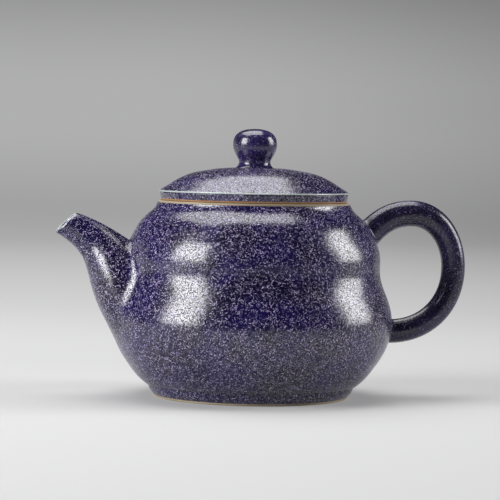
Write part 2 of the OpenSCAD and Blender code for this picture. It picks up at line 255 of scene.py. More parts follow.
@dataclass
class Wiring:
    """Adds nodes to one tree and joins them."""

    tree: NodeTree

    def add(self, kind: str, inputs: dict | None = None, **settings) -> Node:
        """Add a node.

        Args:
            kind: The node's type.
            inputs: A value or a socket for each named or numbered input.
            settings: Properties of the node itself.

        Returns:
            The new node.
        """
        node = self.tree.nodes.new(kind)
        for key, value in settings.items():
            setattr(node, key, value)
        for key, value in (inputs or {}).items():
            self.feed(node.inputs[key], value)
        return node

    def feed(self, socket: NodeSocket, value) -> None:
        """Set a socket to a value, or join it to another socket."""
        if isinstance(value, NodeSocket):
            self.tree.links.new(value, socket)
        else:
            socket.default_value = value

    def math(self, operation: str, *values, clamp: bool = False) -> NodeSocket:
        """Return the result of a number operation on values or sockets."""
        node = self.add("ShaderNodeMath", dict(enumerate(values)), operation=operation, use_clamp=clamp)
        return node.outputs[0]

    def vector(self, operation: str, *values) -> NodeSocket:
        """Return the result of a vector operation on values or sockets."""
        node = self.tree.nodes.new("ShaderNodeVectorMath")
        node.operation = operation
        for i, value in enumerate(values):
            self.feed(node.inputs["Scale"] if operation == "SCALE" and i == 1 else node.inputs[i], value)
        return node.outputs["Value" if operation in {"DOT_PRODUCT", "LENGTH"} else "Vector"]

    def ramp(self, value, low: float, high: float, to_low: float = 0.0, to_high: float = 1.0,
             smooth: bool = True) -> NodeSocket:
        """Return a value carried smoothly from one range to another.

        Args:
            value: The socket to carry over.
            low: Start of its range.
            high: End of its range.
            to_low: What the start becomes.
            to_high: What the end becomes.
            smooth: False for a straight ramp.

        Returns:
            The carried value's socket.
        """
        node = self.add(
            "ShaderNodeMapRange",
            {"Value": value, "From Min": low, "From Max": high, "To Min": to_low, "To Max": to_high},
            interpolation_type="SMOOTHSTEP" if smooth else "LINEAR",
        )
        return node.outputs["Result"]

    def blend(self, factor, first, second) -> NodeSocket:
        """Return the colour that lies factor of the way from first to second."""
        node = self.tree.nodes.new("ShaderNodeMix")
        node.data_type = "RGBA"
        sockets = [s for s in node.inputs if s.type == "RGBA"]
        self.feed(node.inputs[0], factor)
        for socket, value in zip(sockets, (first, second)):
            self.feed(socket, value if isinstance(value, NodeSocket) else (*value, 1.0))
        return next(s for s in node.outputs if s.type == "RGBA")

    def noise(self, place, scale: float, detail: float = 2.0, rough: float = 0.5) -> NodeSocket:
        """Return a cloudy value between 0 and 1 that varies with the place."""
        inputs = {"Vector": place, "Scale": scale, "Detail": detail, "Roughness": rough}
        return self.add("ShaderNodeTexNoise", inputs).outputs["Fac"]

    def bump(self, height) -> NodeSocket:
        """Return the normal of a skin whose height is given in metres."""
        inputs = {"Strength": 1.0, "Distance": 1.0, "Height": height}
        return self.add("ShaderNodeBump", inputs).outputs["Normal"]

    def dress(self, geometry, material) -> NodeSocket:
        """Return a geometry with its instances made real and its material set."""
        real = self.add("GeometryNodeRealizeInstances", {"Geometry": geometry}).outputs[0]
        return self.add("GeometryNodeSetMaterial", {"Geometry": real, "Material": material}).outputs[0]


def declare(tree: NodeTree, inputs: dict[str, str], output: tuple[str, str]) -> tuple:
    """Give a tree its inputs and its one output.

    Args:
        tree: The empty tree.
        inputs: The kind of socket for each input's name.
        output: The output's name and kind.

    Returns:
        The tree's wiring, its inputs by name, and the socket that takes the result.
    """
    for label, kind in inputs.items():
        tree.interface.new_socket(name=label, in_out="INPUT", socket_type=f"NodeSocket{kind}")
    tree.interface.new_socket(name=output[0], in_out="OUTPUT", socket_type=f"NodeSocket{output[1]}")
    w = Wiring(tree)
    return w, w.add("NodeGroupInput").outputs, w.add("NodeGroupOutput").inputs[output[0]]


def blank_material(name: str) -> tuple[Material, Wiring, NodeSocket]:
    """Return a new material, the wiring of its emptied tree, and the socket that takes its surface."""
    mat = bpy.data.materials.new(name)
    mat.use_nodes = True
    mat.node_tree.nodes.clear()
    w = Wiring(mat.node_tree)
    return mat, w, w.add("ShaderNodeOutputMaterial").inputs["Surface"]


def object_place(w: Wiring) -> NodeSocket:
    """Return the place on the object in millimetres."""
    return w.vector("SCALE", w.add("ShaderNodeTexCoord").outputs["Object"], 1 / MM)


@dataclass(frozen=True)
class FleckLayer:
    """Needle flecks of one size.

    Attributes:
        pitch: How far apart the flecks lie, in millimetres.
        reach: Half the length of a needle.
        breadth: Half its width, out to where it fades.
        shift: Moves this layer away from the others.
        fade: Share of the flecks that stay faint.
    """

    pitch: float
    reach: float
    breadth: float
    shift: float
    fade: float


CORE = 0.25  # share of a needle's breadth over which it shows in full
RARITY = 5.2  # the higher, the fewer flecks are bright


def fleck_group() -> NodeTree:
    """Return the node group that draws one layer of needle flecks along the surface.

    Returns:
        A group with a place in millimetres, the normal and the layer's sizes as its inputs, and the
        fleck's strength as its output.
    """
    name = "Needle flecks"
    if name in bpy.data.node_groups:
        return bpy.data.node_groups[name]
    group = bpy.data.node_groups.new(name, "ShaderNodeTree")
    sizes = ("Pitch", "Reach", "Breadth", "Shift", "Fade")
    inputs = {"Place": "Vector", "Normal": "Vector", **dict.fromkeys(sizes, "Float")}
    w, given, result = declare(group, inputs, ("Strength", "Float"))
    spot = w.vector("SCALE", given["Place"], w.math("DIVIDE", 1.0, given["Pitch"]))
    spot = w.vector("ADD", spot, given["Shift"])
    cells = w.add("ShaderNodeTexVoronoi", {"Vector": spot, "Scale": 1.0}, voronoi_dimensions="3D",
                  feature="F1")
    middle = cells.outputs["Position"]

    def flatten(v: NodeSocket) -> NodeSocket:
        """Return a vector laid into the surface."""
        upright = w.vector("DOT_PRODUCT", v, given["Normal"])
        return w.vector("SUBTRACT", v, w.vector("SCALE", given["Normal"], upright))

    away = flatten(w.vector("SUBTRACT", spot, middle))
    chance = w.add("ShaderNodeTexWhiteNoise", {"Vector": middle}, noise_dimensions="3D")
    axis = w.vector("NORMALIZE", flatten(w.vector("SUBTRACT", chance.outputs["Color"], (0.5, 0.5, 0.5))))
    # Each needle is 0.6 to 1.4 times as long as its layer's reach.
    half = w.math("DIVIDE", given["Reach"], given["Pitch"])
    half = w.math("MULTIPLY", half, w.math("MULTIPLY_ADD", chance.outputs["Value"], 0.8, 0.6))
    run = w.math("MAXIMUM", w.vector("DOT_PRODUCT", away, axis), w.math("MULTIPLY", half, -1.0))
    run = w.math("MINIMUM", run, half)
    off = w.vector("LENGTH", w.vector("SUBTRACT", away, w.vector("SCALE", axis, run)))
    off = w.math("MULTIPLY", off, given["Pitch"])
    drawn = w.ramp(off, given["Breadth"], w.math("MULTIPLY", given["Breadth"], CORE))
    luck = w.math("POWER", w.vector("DOT_PRODUCT", cells.outputs["Color"], (0.0, 1.0, 0.0)), RARITY)
    vary = w.ramp(luck, 0.0, 1.0, w.math("SUBTRACT", 1.0, given["Fade"]), 1.0, smooth=False)
    w.feed(result, w.math("MULTIPLY", drawn, vary))
    return group


@dataclass(frozen=True)
class SpeckledGlaze:
    """A glossy glaze: a deep ground with layers of pale, drier needles that stand a little proud of it.

    Attributes:
        name: The material's name.
        ground: The glaze's deep colour.
        pool: The colour where the glaze lies thicker.
        needle: The colour of the brightest flecks.
        layers: The layers of flecks.
        show: How strongly the flecks show.
        gloss: Roughness of the ground.
        dry: Roughness of a fleck.
        peel: Height in millimetres of the ripple in its skin.
        peel_pitch: Width in millimetres of that ripple.
        proud: Height in millimetres of a fleck.
        thin: The colour where the glaze runs thin over an edge.
        sheen: How strongly the ground reflects.
        matt: How strongly a fleck reflects, as a share of that.
        grain: How much the sheen varies from grain to grain.
    """

    name: str
    ground: Colour
    pool: Colour
    needle: Colour
    layers: tuple[FleckLayer, ...]
    show: float = 1.0
    gloss: float = 0.19
    dry: float = 0.46
    peel: float = 0.012
    peel_pitch: float = 0.5
    proud: float = 0.010
    thin: Colour = (0.42, 0.47, 0.47)
    sheen: float = 0.60
    matt: float = 1.1
    grain: float = 0.85

    def marks(self, w: Wiring, place: NodeSocket) -> NodeSocket:
        """Return how strongly a fleck of any layer shows at a place."""
        normal = w.add("ShaderNodeTexCoord").outputs["Normal"]
        marks = None
        for layer in self.layers:
            sizes = {key.capitalize(): value for key, value in asdict(layer).items()}
            inputs = {"Place": place, "Normal": normal, **sizes}
            node = w.add("ShaderNodeGroup", inputs, node_tree=fleck_group())
            marks = node.outputs[0] if marks is None else w.math("MAXIMUM", marks, node.outputs[0])
        return marks

    def build(self) -> Material:
        """Make the material."""
        mat, w, surface = blank_material(self.name)
        shader = w.add("ShaderNodeBsdfPrincipled", {"IOR": 1.6})
        w.feed(surface, shader.outputs[0])
        place = object_place(w)
        marks = self.marks(w, place)
        # Clouds about 11 mm wide deepen the ground, and patches about 3 mm wide hold fainter flecks.
        cloud = w.noise(place, 0.09, 3.0, 0.6)
        base = w.blend(w.ramp(cloud, 0.35, 0.65), self.ground, self.pool)
        drift = w.ramp(w.noise(place, 0.35), 0.3, 0.7, 0.7 * self.show, self.show)
        edge = w.add("ShaderNodeAttribute", attribute_type="GEOMETRY", attribute_name="thin").outputs["Fac"]
        speckled = w.blend(w.math("MULTIPLY", marks, drift), base, self.needle)
        w.feed(shader.inputs["Base Color"], w.blend(edge, speckled, self.thin))
        dryness = w.math("MULTIPLY", w.math("POWER", marks, 0.5), w.math("SUBTRACT", 1.0, edge))
        w.feed(shader.inputs["Roughness"], w.ramp(dryness, 0.0, 1.0, self.gloss, self.dry, smooth=False))
        # The sheen changes with every grain, and where the flecks are dry.
        low, high = (1 - self.grain) * self.sheen, (1 + self.grain) * self.sheen
        level = w.ramp(w.noise(place, 2.6, 1.0), 0.36, 0.64, low, high)
        level = w.math("MULTIPLY", level, w.ramp(dryness, 0.0, 0.9, 1.0, self.matt, smooth=False))
        w.feed(shader.inputs["Specular IOR Level"], level)
        ripple = w.math("MULTIPLY", w.noise(place, 1.0 / self.peel_pitch, rough=0.6), self.peel * MM)
        raised = w.math("MULTIPLY", marks, self.proud * MM)
        w.feed(shader.inputs["Normal"], w.bump(w.math("ADD", ripple, raised)))
        return mat


@dataclass(frozen=True)
class BareClay:
    """Fired clay without glaze: matt, orange-tan and fine-grained.

    Attributes:
        name: The material's name.
        warm: Its main colour.
        dusk: Its darker colour.
    """

    name: str
    warm: Colour
    dusk: Colour

    def build(self) -> Material:
        """Make the material."""
        mat, w, surface = blank_material(self.name)
        shader = w.add("ShaderNodeBsdfPrincipled", {"Roughness": 0.62})
        w.feed(surface, shader.outputs[0])
        place = object_place(w)
        grain = w.noise(place, 2.6, 4.0, 0.65)
        tone = w.math("ADD", w.math("MULTIPLY", grain, 0.6), w.math("MULTIPLY", w.noise(place, 0.12), 0.4))
        w.feed(shader.inputs["Base Color"], w.blend(w.ramp(tone, 0.35, 0.65), self.dusk, self.warm))
        w.feed(shader.inputs["Normal"], w.bump(w.math("MULTIPLY", grain, 0.03 * MM)))
        return mat


# --- turned forms ---------------------------------------------------------------------------------


def turning_tree() -> NodeTree:
    """Return the geometry tree that turns a profile round the pot's axis.

    The profile is the object's own points, each at (radius, 0, height), in order.

    Returns:
        A tree with the number of sides, the number of profile points and the material as inputs.
    """
    name = "Turned form"
    if name in bpy.data.node_groups:
        return bpy.data.node_groups[name]
    tree = bpy.data.node_groups.new(name, "GeometryNodeTree")
    inputs = {"Profile": "Geometry", "Sides": "Int", "Profile points": "Int", "Finish": "Material"}
    w, given, result = declare(tree, inputs, ("Form", "Geometry"))
    points = given["Profile points"]
    columns = w.math("ADD", given["Sides"], 1)
    sheet = w.add("GeometryNodeMeshGrid", {"Vertices X": columns, "Vertices Y": points})
    index = w.add("GeometryNodeInputIndex").outputs[0]
    column = w.math("FLOOR", w.math("DIVIDE", w.math("ADD", index, 0.5), points))
    angle = w.math("MULTIPLY", w.math("DIVIDE", column, given["Sides"]), math.tau)
    where = w.add("GeometryNodeInputPosition").outputs[0]
    sample = w.add("GeometryNodeSampleIndex", {"Geometry": given["Profile"]}, data_type="FLOAT_VECTOR")
    w.feed(next(s for s in sample.inputs if s.name == "Value" and s.type == "VECTOR"), where)
    w.feed(sample.inputs["Index"], w.math("MODULO", index, points))
    point = next(s for s in sample.outputs if s.type == "VECTOR")
    turned = w.add("ShaderNodeVectorRotate", {"Vector": point, "Angle": angle, "Axis": (0.0, 0.0, 1.0)})
    inputs = {"Geometry": sheet.outputs["Mesh"], "Position": turned.outputs[0]}
    moved = w.add("GeometryNodeSetPosition", inputs)
    merged = w.add("GeometryNodeMergeByDistance", {"Geometry": moved.outputs[0], "Distance": WELD})
    w.feed(result, w.dress(merged.outputs[0], given["Finish"]))
    return tree


def run_tree(obj: Object, tree: NodeTree, values: dict) -> None:
    """Run a geometry tree on an object and leave the result as its plain mesh.

    Args:
        obj: The object that carries the tree's input.
        tree: The geometry tree.
        values: A value for each of the tree's named inputs.
    """
    modifier = obj.modifiers.new("Build", "NODES")
    modifier.node_group = tree
    for item in tree.interface.items_tree:
        if item.item_type == "SOCKET" and item.in_out == "INPUT" and item.name in values:
            modifier[item.identifier] = values[item.name]
    obj.update_tag()
    settle(obj)


def turn(name: str, profile: Sequence[Point2], material: Material,
         sides: int = TURN_SIDES) -> Object:
    """Turn a closed profile round the axis.

    Args:
        name: The piece's name.
        profile: Points (radius, height) in millimetres, counter-clockwise in the (radius, height) plane.
        material: What it is finished with.
        sides: How many sides the turned form has.

    Returns:
        The finished object.
    """
    loop = list(profile) + [profile[0]]
    mesh = bpy.data.meshes.new(name)
    mesh.from_pydata([(r * MM, 0.0, z * MM) for r, z in loop], [(i, i + 1) for i in range(len(loop) - 1)], [])
    obj = add_object(name, mesh)
    run_tree(obj, turning_tree(), {"Sides": sides, "Profile points": len(loop), "Finish": material})
    face_out(obj.data)
    shade(obj.data)
    return obj


# --- the pot --------------------------------------------------------------------------------------


@dataclass
class Pot:
    """The pot's own sizes: wall, foot and mouth, as every other piece needs them."""

    belly_r: float = 46.8
    belly_z: float = 25.4
    hip_r: float = 41.75
    waist_r: float = 42.4
    waist_low_z: float = 41.9
    waist_top_z: float = 46.9
    wall_top_z: float = 64.4
    wall: float = 2.8
    floor_t: float = 3.0
    floor_r: float = 31.4
    foot_h: float = 4.0
    foot_top_r: float = 34.35
    foot_taper: float = 1.9
    foot_bore_r: float = 29.0
    rim_r: float = 31.6
    rim_h: float = 0.7
    rim_drop: float = 2.6
    mouth_r: float = 26.8
    collar_r: float = 29.4
    foot_bare_z: float = 0.7
    lute: float = 0.05
    hole_r: float = 8.5
    strainer_z: float = 36.1
    contour: Contour = field(init=False)

    def __post_init__(self) -> None:
        """Draw the wall's contour from the sizes."""
        top = self.wall_top_z
        self.contour = Contour((
            (self.foot_h, self.foot_top_r + 0.55, 1.45),
            (self.foot_h + 7.4, self.hip_r, 0.72),
            (self.belly_z, self.belly_r, 0.0),
            ((self.belly_z + self.waist_low_z) / 2 + 1.25, mix(self.belly_r, self.waist_r, 0.53), -0.42),
            (self.waist_low_z, self.waist_r + 0.05, -0.05),
            (self.waist_top_z, self.waist_r, -0.07),
            (top - 10.7, mix(self.waist_r, self.rim_r, 0.2), -0.54),
            (top - 5.2, self.rim_r + 5.1, -0.95),
            (top - 3.4, self.rim_r + 3.15, -1.12),
            (top - 1.6, self.rim_r + 1.4, -0.62),
            (top, self.rim_r + 0.6, -0.2),
        ))

    def radius(self, z: float) -> float:
        """Return the wall's outer radius at a height."""
        return self.contour.at(min(max(z, self.foot_h), self.wall_top_z))

    def skin_x(self, y: float, z: float) -> float:
        """Return how far the wall's skin lies from the plane x = 0, at a place y across and z up."""
        return math.sqrt(max(self.radius(z) ** 2 - y * y, 1.0))

    def inner(self, z: float) -> Point2:
        """Return the wall's inner point that lies square under its skin at a height."""
        s = self.contour.slope(z)
        k = self.wall / math.sqrt(1 + s * s)
        return (self.radius(z) - k, z + k * s)

    def strainer_seat(self) -> Matrix:
        """Return the strainer's frame in metres: origin in the skin, +Z inward and square to the wall."""
        low, high = (self.radius(self.strainer_z + d) for d in (-self.hole_r, self.hole_r))
        lean = math.atan2(low - high, 2 * self.hole_r)
        place = Matrix.Translation(Vector((-(low + high) / 2, 0, self.strainer_z)) * MM)
        return place @ Matrix.Rotation(math.pi / 2 + lean, 4, "Y")

    @property
    def floor_z(self) -> float:
        """Height of the floor inside."""
        return self.foot_h + self.floor_t


@dataclass
class Furnace:
    """The materials that the pieces are finished with, made once each."""

    made: dict[str, Material] = field(default_factory=dict)

    def fire(self, finish: "SpeckledGlaze | BareClay") -> Material:
        """Return the finish's material, made on its first use."""
        if finish.name not in self.made:
            self.made[finish.name] = finish.build()
        return self.made[finish.name]


POT_GLAZE = SpeckledGlaze(
    name="Speckled glaze",
    ground=(0.006, 0.003, 0.054), pool=(0.002, 0.001, 0.020), needle=(0.80, 0.68, 1.0),
    layers=(
        FleckLayer(pitch=0.98, reach=0.36, breadth=0.13, shift=3.7, fade=1.0),
        FleckLayer(pitch=0.78, reach=0.24, breadth=0.13, shift=11.3, fade=1.0),
        FleckLayer(pitch=0.56, reach=0.11, breadth=0.12, shift=23.9, fade=1.0),
    ),
)
HANDLE_GLAZE = SpeckledGlaze(
    name="Dark glaze",
    ground=(0.024, 0.017, 0.062), pool=(0.010, 0.007, 0.026), needle=(0.34, 0.30, 0.52),
    layers=(FleckLayer(pitch=0.9, reach=0.3, breadth=0.2, shift=5.1, fade=0.9),),
    show=0.6, gloss=0.21, dry=0.4, peel=0.010, peel_pitch=0.8, proud=0.004, sheen=0.42, grain=0.5,
)
KNOB_GLAZE = SpeckledGlaze(
    name="Knob glaze",
    ground=(0.018, 0.010, 0.075), pool=(0.008, 0.005, 0.032), needle=(0.50, 0.44, 0.70),
    layers=(FleckLayer(pitch=0.7, reach=0.25, breadth=0.17, shift=8.3, fade=0.9),),
    show=0.7, gloss=0.16, dry=0.3, peel=0.010, peel_pitch=0.8, proud=0.005, sheen=0.55, grain=0.25,
)
BARE_CLAY = BareClay(name="Bare clay", warm=(0.42, 0.24, 0.13), dusk=(0.30, 0.16, 0.08))
LID_EDGE_CLAY = BareClay(name="Lid edge clay", warm=(0.44, 0.235, 0.11), dusk=(0.30, 0.15, 0.06))
MOUTH_CLAY = BareClay(name="Mouth clay", warm=(0.42, 0.35, 0.24), dusk=(0.32, 0.25, 0.16))


@dataclass
class Piece:
    """A finished piece, and where it belongs.

    Attributes:
        obj: The piece's object.
        node: The node that it stands for.
        body: The part that it moves with.
        finish: The finish that it is fired with.
    """

    obj: Object
    node: str
    body: Body
    finish: Finish

    def place(self) -> None:
        """Hand the piece over to the frame and report it."""
        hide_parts(self.node)
        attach(self.obj, self.body.value)
        LOG.info("%s: %d faces, finish %s, moves with %s", self.obj.name, len(self.obj.data.polygons),
                 self.finish.value, self.body.value)


def paint(obj: Object, name: str, amount: Callable[[Vector], float]) -> None:
    """Give each point of a piece a value that its material reads.

    Args:
        obj: The piece.
        name: The attribute's name.
        amount: Returns the value for a point in millimetres.
    """
    layer = obj.data.attributes.new(name, "FLOAT", "POINT")
    layer.data.foreach_set("value", [amount(v.co / MM) for v in obj.data.vertices])


def leave_bare(obj: Object, clay: Material, bare: Callable[[Vector], bool]) -> None:
    """Finish some of a piece's faces in bare clay.

    Args:
        obj: The piece.
        clay: The clay's material.
        bare: Says whether a face whose middle lies at a place in millimetres stays bare.
    """
    obj.data.materials.append(clay)
    slot = len(obj.data.materials) - 1
    for face in obj.data.polygons:
        if bare(face.center / MM):
            face.material_index = slot


def solid(name: str, verts: Sequence[Vector], faces: Sequence[Sequence[int]], material: Material,
          crease: float = 50.0) -> Object:
    """Make a closed piece from points and faces.

    Args:
        name: The piece's name.
        verts: Points in millimetres.
        faces: Corners of each face.
        material: What it is finished with.
        crease: The angle in degrees past which an edge stays sharp.

    Returns:
        The finished object.
    """
    mesh = bpy.data.meshes.new(name)
    mesh.from_pydata([tuple(v * MM) for v in verts], [], [tuple(f) for f in faces])
    face_out(mesh, merge=True)
    mesh.materials.append(material)
    shade(mesh, crease)
    return add_object(name, mesh)


@dataclass
class Maker:
    """Makes pieces, with the pot's sizes and the furnace at hand."""

    pot: Pot
    furnace: Furnace

    def turned(self, name: str, profile: Sequence[Point2], finish: "SpeckledGlaze | BareClay",
               sides: int = TURN_SIDES) -> Object:
        """Turn a profile round the axis and fire it."""
        return turn(name, profile, self.furnace.fire(finish), sides)


@dataclass
class PotBody(Maker):
    """The thrown wall, its floor disc, its foot ring and its mouth ring."""

    def wall_piece(self) -> Piece:
        """Turn the wall and pierce it behind the spout."""
        p = self.pot
        outer = [(p.radius(z), z) for z in steps(p.foot_h, p.wall_top_z, 130)]
        inner = [p.inner(z) for z in steps(p.wall_top_z - 0.2, p.foot_h + 0.2, 70)]
        inner = [(r, z) for r, z in inner if r > p.collar_r + 0.4 and p.floor_z + 0.3 < z < p.wall_top_z - 1]
        profile = [(p.floor_r, p.foot_h), *outer, (p.collar_r, p.wall_top_z), (p.collar_r, inner[0][1]),
                   *inner, (inner[-1][0] - 0.1, p.floor_z), (p.floor_r, p.floor_z)]
        obj = self.turned("pot_wall", profile, POT_GLAZE)
        self.pierce(obj)
        return Piece(obj, "body", Body.POT, Finish.GLAZE)

    def pierce(self, obj: Object) -> None:
        """Cut the round hole that takes the strainer."""
        r = self.pot.hole_r * MM
        mesh = bpy.data.meshes.new("drill")
        work = bmesh.new()
        bmesh.ops.create_cone(work, cap_ends=True, segments=72, radius1=r, radius2=r, depth=16 * MM,
                              matrix=self.pot.strainer_seat())
        work.to_mesh(mesh)
        work.free()
        drill = add_object("drill", mesh)
        cut = obj.modifiers.new("Drill", "BOOLEAN")
        cut.operation, cut.object, cut.solver = "DIFFERENCE", drill, "EXACT"
        settle(obj)
        bpy.data.objects.remove(drill)
        shade(obj.data)

    def base_piece(self) -> Piece:
        """Turn the floor disc."""
        p, bevel = self.pot, 0.1
        r = p.floor_r - p.lute
        profile = [(0.0, p.foot_h), (r - bevel, p.foot_h), (r, p.foot_h + bevel), (r, p.floor_z - bevel),
                   (r - bevel, p.floor_z), (0.0, p.floor_z)]
        obj = self.turned("floor_disc", profile, BARE_CLAY, sides=144)
        return Piece(obj, "base_disc", Body.POT, Finish.CLAY)

    def foot_piece(self) -> Piece:
        """Turn the foot ring, glazed down to a bare resting edge."""
        p, soft, bevel = self.pot, 0.6, 0.4
        low_r = p.foot_top_r - p.foot_taper
        outer = [(mix(low_r, p.foot_top_r, math.sin(t * math.pi / 2)), mix(soft, p.foot_h, t))
                 for t in steps(0, 1, 24)]
        profile = [(p.foot_bore_r, p.foot_h), (p.foot_bore_r, bevel),
                   *arc((p.foot_bore_r + bevel, bevel), bevel, 180, 270),
                   *arc((low_r - soft, soft), soft, 270, 360, 10), *outer[1:]]
        obj = self.turned("foot_ring", profile, POT_GLAZE)
        leave_bare(obj, self.furnace.fire(MOUTH_CLAY),
                   lambda q: q.z < p.foot_bare_z or math.hypot(q.x, q.y) < p.foot_bore_r + 1)
        return Piece(obj, "foot_ring", Body.POT, Finish.GLAZE)

    def mouth_piece(self) -> Piece:
        """Turn the bare ring under the lid."""
        p, edge, bevel = self.pot, 0.2, 0.4
        top, low, fit_r = p.wall_top_z + p.rim_h, p.wall_top_z - p.rim_drop, p.collar_r - p.lute
        profile = [(p.mouth_r, low), (fit_r, low), (fit_r, p.wall_top_z), (p.rim_r, p.wall_top_z),
                   *arc((p.rim_r - edge, top - edge), edge, 0, 90),
                   *arc((p.mouth_r + bevel, top - bevel), bevel, 90, 180)]
        obj = self.turned("mouth_ring", profile, MOUTH_CLAY)
        return Piece(obj, "mouth_ring", Body.POT, Finish.CLAY)

    def build(self) -> list[Piece]:
        """Build the pot's turned pieces."""
        return [self.wall_piece(), self.base_piece(), self.foot_piece(), self.mouth_piece()]


@dataclass
class Strainer(Maker):
    """The pierced ball strainer that stands in the wall behind the spout."""

    ball_r: float = 8.45
    thickness: float = 1.4
    hole_d: float = 1.6
    row_angle: float = 23.0
    rows: int = 3
    set_back: float = 0.35

    def tree(self) -> NodeTree:
        """Return the geometry tree that pierces a turned thimble with rows of holes."""
        tree = bpy.data.node_groups.new("Pierced ball", "GeometryNodeTree")
        sizes = ("Ball radius", "Ball height", "Hole width", "Hole depth", "Row angle")
        inputs = {"Thimble": "Geometry", **dict.fromkeys(sizes, "Float"), "Rows": "Int", "Finish": "Material"}
        w, given, result = declare(tree, inputs, ("Strainer", "Geometry"))
        # One hole is in the middle and row n has 6 n around it, so that rows 1 to n have 3 n (n + 1).
        rows = given["Rows"]
        count = w.math("ADD", w.math("MULTIPLY", w.math("MULTIPLY", rows, 3), w.math("ADD", rows, 1)), 1)
        line = w.add("GeometryNodeMeshLine", {"Count": count})
        index = w.add("GeometryNodeInputIndex").outputs[0]
        root = w.math("SQRT", w.math("MULTIPLY_ADD", index, 12.0, 9.0))
        row = w.math("CEIL", w.math("DIVIDE", w.math("SUBTRACT", root, 3.001), 6.0))
        first = w.math("MULTIPLY_ADD", w.math("MULTIPLY", row, w.math("SUBTRACT", row, 1.0)), 3.0, 1.0)
        in_row = w.math("MAXIMUM", w.math("MULTIPLY", row, 6.0), 1.0)
        around = w.math("MULTIPLY", w.math("DIVIDE", w.math("SUBTRACT", index, first), in_row), math.tau)
        around = w.math("ADD", around, w.math("MULTIPLY", row, math.radians(15)))
        polar = w.math("MULTIPLY", row, given["Row angle"])
        flat = w.math("SINE", polar)
        x, y = (w.math("MULTIPLY", flat, w.math(way, around)) for way in ("COSINE", "SINE"))
        out = w.add("ShaderNodeCombineXYZ", {0: x, 1: y, 2: w.math("COSINE", polar)}).outputs[0]
        lift = w.add("ShaderNodeCombineXYZ", {2: given["Ball height"]}).outputs[0]
        spot = w.vector("ADD", w.vector("SCALE", out, given["Ball radius"]), lift)
        spots = w.add("GeometryNodeSetPosition", {"Geometry": line.outputs[0], "Position": spot}).outputs[0]
        drill_r = w.math("MULTIPLY", given["Hole width"], 0.5)
        sizes = {"Vertices": 20, "Radius": drill_r, "Depth": given["Hole depth"]}
        drill = w.add("GeometryNodeMeshCylinder", sizes).outputs["Mesh"]
        turned = w.add("FunctionNodeAlignRotationToVector", {"Vector": out}, axis="Z").outputs[0]
        scatter = {"Points": spots, "Instance": drill, "Rotation": turned}
        holes = w.add("GeometryNodeInstanceOnPoints", scatter).outputs[0]
        real = w.add("GeometryNodeRealizeInstances", {"Geometry": holes}).outputs[0]
        cut = w.add("GeometryNodeMeshBoolean", operation="DIFFERENCE", solver="EXACT")
        w.feed(cut.inputs["Mesh 1"], given["Thimble"])
        w.feed(cut.inputs["Mesh 2"], real)
        w.feed(result, w.dress(cut.outputs["Mesh"], given["Finish"]))
        return tree

    def build(self) -> list[Piece]:
        """Build the strainer: turn the thimble, pierce it, and set it in the wall."""
        pot, neck, inner_r = self.pot, self.pot.wall, self.ball_r - self.thickness
        profile = [(inner_r, 0.0), (self.ball_r, 0.0), *arc((0.0, neck), self.ball_r, 0, 90, 28),
                   *arc((0.0, neck), inner_r, 90, 0, 24)]
        obj = self.turned("strainer", profile, BARE_CLAY, sides=72)
        run_tree(obj, self.tree(), {
            "Ball radius": (self.ball_r - self.thickness / 2) * MM, "Ball height": neck * MM,
            "Hole width": self.hole_d * MM, "Hole depth": (self.thickness + 1.0) * MM,
            "Row angle": math.radians(self.row_angle), "Rows": self.rows,
            "Finish": self.furnace.fire(BARE_CLAY),
        })
        seat = pot.strainer_seat()
        bed = math.sqrt((pot.radius(pot.strainer_z) + pot.lute) ** 2 - pot.hole_r**2)
        sink = abs(seat.translation.x) / MM - bed + self.set_back
        obj.data.transform(seat @ Matrix.Translation((0, 0, sink * MM)))
        shade(obj.data)
        return [Piece(obj, "strainer", Body.POT, Finish.CLAY)]


